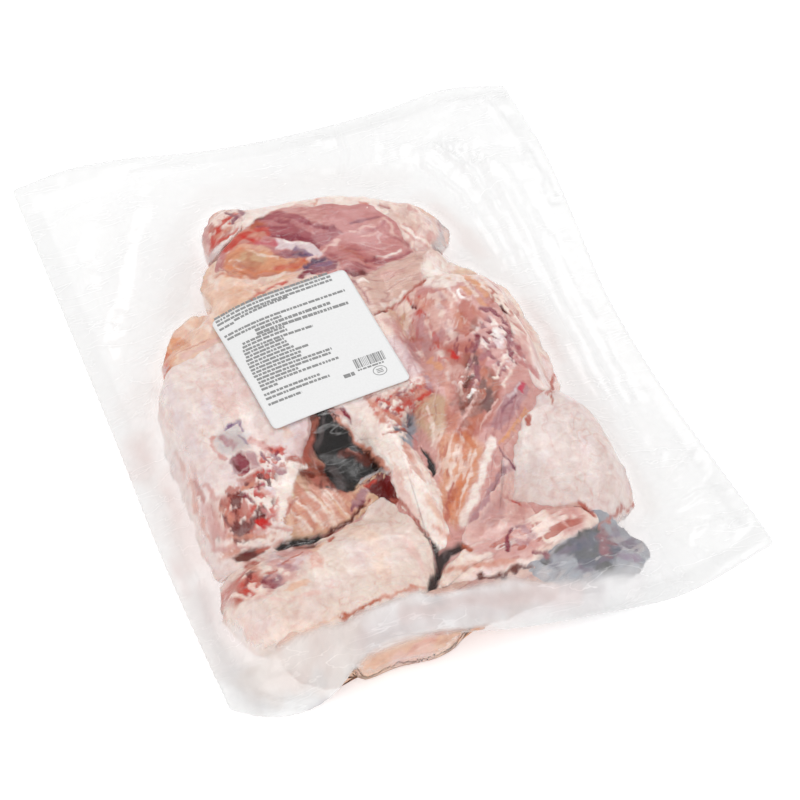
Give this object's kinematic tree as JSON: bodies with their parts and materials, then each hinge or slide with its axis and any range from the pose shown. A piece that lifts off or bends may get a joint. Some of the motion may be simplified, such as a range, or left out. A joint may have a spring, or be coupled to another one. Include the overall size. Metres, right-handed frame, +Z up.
{
  "type": "stewing hen in a vacuum bag",
  "caption": "Cut stewing hen in a flat, clear vacuum bag: a low heap of skin, muscle and carcass pieces under drawn film, with a wide empty margin and a plain label.",
  "frame": {"origin": "on the floor, under the middle of the bag's outline", "axes": "+Z up, away from the floor; +Y along the bag's long side, towards the end with the wide empty margin; +X along its short side, to the right when the label reads upright"},
  "size_m": [0.4022, 0.5122, 0.0628],
  "materials": {
    "film": "clear, wet-looking plastic film; the base colour is that of the meat under it",
    "skin": "raw poultry skin and fat, smooth and damp",
    "muscle": "raw dark meat, damp, with pale connective strands",
    "organ": "dark, damp inside of the carcass",
    "label": "white coated paper with grey print"
  },
  "bodies": {
    "root": {"bag": "film", "label": "label"}
  },
  "joints": []
}
